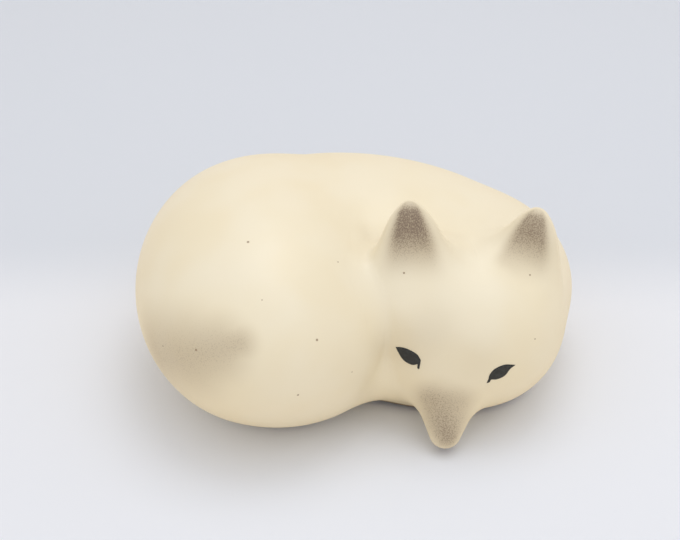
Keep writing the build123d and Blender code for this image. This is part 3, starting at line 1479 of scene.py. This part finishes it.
EYES = {
    "left_eye": Eye(
        middle=(20.74, -52.27, 37.72),
        normal=(-0.396, -0.898, 0.19),
        axis=(0.869, -0.434, -0.238),
        upper=((-6.63, 1.45), (-4.54, 2.54), (-2.08, 3.09), (1.67, 2.9), (3.86, 1.45)),
        stroke=((4.58, -2.23), (3.69, -2.3), (3.25, -0.71)),
        lower=((1.46, -2.22), (-1.52, -2.53), (-3.73, -1.45)),
    ),
    "right_eye": Eye(
        middle=(52.34, -57.14, 33.87),
        normal=(0.243, -0.969, 0.03),
        axis=(0.873, 0.232, 0.428),
        upper=((7.36, 0.01), (4.09, 2.73), (0.19, 3.17), (-2.44, 1.8), (-3.74, 0.01)),
        stroke=((-4.99, -1.34), (-3.87, -1.58), (-2.89, -0.7)),
        lower=((-0.88, -1.87), (2.12, -1.95), (5.05, -0.29)),
    ),
}


@dataclass
class Eyes:
    """The two raised enamel eyes."""

    fox: Fox
    finish: bpy.types.Material
    relief: float = 0.28
    depth: float = 0.25
    soften: float = 0.3
    half_space: float = 9.0
    step: float = 0.22

    def build(self) -> None:
        """Makes both eyes."""
        for name, eye in EYES.items():

            def gap(points: np.ndarray, eye: Eye = eye) -> np.ndarray:
                """Distance outside the raised eye."""
                face = self.fox.eared(points)
                raised = overlap(face - self.relief, eye.gap(points), self.soften)
                return np.maximum(raised, -face - self.depth)

            middle = np.array(eye.middle)
            surface = wrap(gap, middle - self.half_space, middle + self.half_space, self.step)
            deep = self.fox.eared(surface.points) < -self.depth / 2
            surface = surface.keep(~deep[surface.faces].all(axis=1))
            settle(surface.build(f"enamel_{name}", self.finish), Slot.ENAMEL, name)


@dataclass
class Pads:
    """Four felt pads under the foot."""

    finish: bpy.types.Material
    radius: float = 7.0
    thickness: float = 1.0
    edge: float = 0.25
    edge_steps: int = 4
    rings_within: tuple[float, ...] = (0.35, 0.7, 0.93)
    spread: Pair = (36.0, 14.0)
    spokes: int = 64
    crisp: float = 40.0

    def outline(self) -> list[Pair]:
        """Half section of a pad, from its underside's middle to its top's middle.

        Returns:
            Radius and height of each point.
        """
        flat = [(self.radius * share, 0.0) for share in self.rings_within]
        angles = [math.pi / 2 * step / self.edge_steps for step in range(self.edge_steps + 1)]
        inner = self.radius - self.edge
        bottom = [
            (inner + self.edge * math.sin(angle), self.edge - self.edge * math.cos(angle))
            for angle in angles
        ]
        lower = [*flat, *bottom]
        return lower + [(wide, self.thickness - height) for wide, height in lower[::-1]]

    def pad(self, number: int, place: np.ndarray) -> None:
        """Makes one pad.

        Args:
            number: Number of the pad.
            place: Middle of its underside.
        """
        net = bmesh.new()
        angles = 2 * math.pi * np.arange(self.spokes) / self.spokes
        rings = []
        for wide, height in self.outline():
            around = [wide * np.cos(angles), wide * np.sin(angles), np.full(self.spokes, height)]
            spots = to_frame(np.stack(around, -1) + place)
            rings.append([net.verts.new(spot) for spot in spots.tolist()])
        for lower, upper in zip(rings, rings[1:]):
            for step in range(self.spokes):
                ahead = (step + 1) % self.spokes
                net.faces.new((lower[step], lower[ahead], upper[ahead], upper[step]))
        net.faces.new(rings[0][::-1])
        net.faces.new(rings[-1])
        mesh = bpy.data.meshes.new(f"felt_{number}")
        net.to_mesh(mesh)
        net.free()
        mesh.shade_smooth()
        mesh.set_sharp_from_angle(angle=math.radians(self.crisp))
        mesh.materials.append(self.finish)
        piece = bpy.data.objects.new(f"felt_{number}", mesh)
        bpy.context.scene.collection.objects.link(piece)
        settle(piece, Slot.FELT, f"felt_pad_{number}")

    def build(self) -> None:
        """Makes the pads."""
        corners = [(side, end) for side in (-1, 1) for end in (-1, 1)]
        for number, corner in enumerate(corners, 1):
            place = np.array(PAD_MIDDLE) + np.array(corner) * np.array(self.spread)
            self.pad(number, np.array([*place, 0]))


# Studio


@dataclass(frozen=True)
class Lamp:
    """A square soft light that looks at the fox."""

    name: str
    turn: float
    rise: float
    distance: float
    size: float
    power: float
    colour: Triple

    def build(self) -> None:
        """Makes the light."""
        data = bpy.data.lights.new(self.name, "AREA")
        data.shape = "SQUARE"
        data.size = self.size
        data.energy = self.power
        data.color = self.colour
        lamp = bpy.data.objects.new(self.name, data)
        bpy.context.scene.collection.objects.link(lamp)
        place = Vector(outward(self.turn, self.rise)) * self.distance
        lamp.location = place
        lamp.rotation_euler = (-place).to_track_quat("-Z", "Y").to_euler()


@dataclass
class Studio:
    """Plain pale floor that runs up behind, soft lights and sky, in metres."""

    lamps: tuple[Lamp, ...] = (
        Lamp(
            name="key",
            turn=150,
            rise=80,
            distance=0.9,
            size=0.5,
            power=1.35,
            colour=(1.0, 0.985, 0.96),
        ),
        Lamp(
            name="fill",
            turn=45,
            rise=74,
            distance=1.0,
            size=0.6,
            power=0.6,
            colour=(1.0, 0.99, 0.97),
        ),
    )
    # Backdrop paler near and darker towards the back: painted shade
    near: Colour = (0.815, 0.85, 0.94, 1)
    far: Colour = (0.70, 0.745, 0.84, 1)
    fade: Pair = (0.03, 0.09)
    bounce: Colour = (0.875, 0.82, 0.745, 1)
    roughness: float = 0.9
    gloss: float = 0.1
    sky: Colour = (1.0, 0.985, 0.96, 1)
    sky_strength: float = 0.84
    half_width: float = 2.5
    front_edge: float = -2.5
    bend_start: float = 0.45
    bend_radius: float = 0.5
    bend_steps: int = 24
    wall_height: float = 2.0

    def finish(self) -> bpy.types.Material:
        """Makes the backdrop's paper, which throws warmer light than the camera sees and shows
        painted shade towards the back.

        Returns:
            The material.
        """
        material, wire, shader = new_finish("backdrop_finish")
        split = wire.node("SeparateXYZ")
        wire.feed(split.inputs[0], wire.node("TexCoord").outputs["Object"])
        share = wire.remap(split.outputs["Y"], *self.fade)
        seen = wire.node("LightPath").outputs["Is Camera Ray"]
        colour = wire.mix(seen, self.bounce, wire.mix(share, self.near, self.far))
        wire.feed(shader.inputs["Base Color"], colour)
        shader.inputs["Roughness"].default_value = self.roughness
        shader.inputs["Specular IOR Level"].default_value = self.gloss
        return material

    def floor(self) -> None:
        """Makes the floor and the backdrop as one sheet."""
        line = [(self.front_edge, 0.0), (self.bend_start, 0.0)]
        for step in range(1, self.bend_steps + 1):
            angle = math.pi / 2 * step / self.bend_steps
            along = self.bend_start + self.bend_radius * math.sin(angle)
            line.append((along, self.bend_radius * (1 - math.cos(angle))))
        line.append((line[-1][0], self.wall_height))
        points = [(side * self.half_width, y, z) for y, z in line for side in (-1, 1)]
        faces = [(2 * n, 2 * n + 1, 2 * n + 3, 2 * n + 2) for n in range(len(line) - 1)]
        mesh = bpy.data.meshes.new("backdrop")
        mesh.from_pydata(points, [], faces)
        mesh.shade_smooth()
        mesh.materials.append(self.finish())
        sheet = bpy.data.objects.new("backdrop", mesh)
        bpy.context.scene.collection.objects.link(sheet)

    def build(self) -> None:
        """Makes floor, lights and sky."""
        self.floor()
        for lamp in self.lamps:
            lamp.build()
        world = bpy.data.worlds.new("sky")
        world.use_nodes = True
        shade = world.node_tree.nodes["Background"]
        shade.inputs["Color"].default_value = self.sky
        shade.inputs["Strength"].default_value = self.sky_strength
        bpy.context.scene.world = world
        bpy.context.scene.view_settings.view_transform = "Standard"


def main() -> None:
    """Builds every piece, the studio and the camera."""
    logging.basicConfig(level=logging.INFO)
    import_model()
    fox = Fox()
    lens = Lens()
    airbrush = Airbrush(fox, lens)
    holes = lens.spots([(hole.across, hole.down) for hole in PINHOLES], fox.eared)
    glaze = Glaze().build(to_frame(holes))
    lens.build()
    Studio().build()
    Casting(fox, Seam(), airbrush, glaze).build()
    Ears(fox, airbrush, glaze).build()
    Eyes(fox, Enamel().build()).build()
    Pads(Felt().build()).build()
    LOG.info("sizes written")


if __name__ == "__main__":
    main()
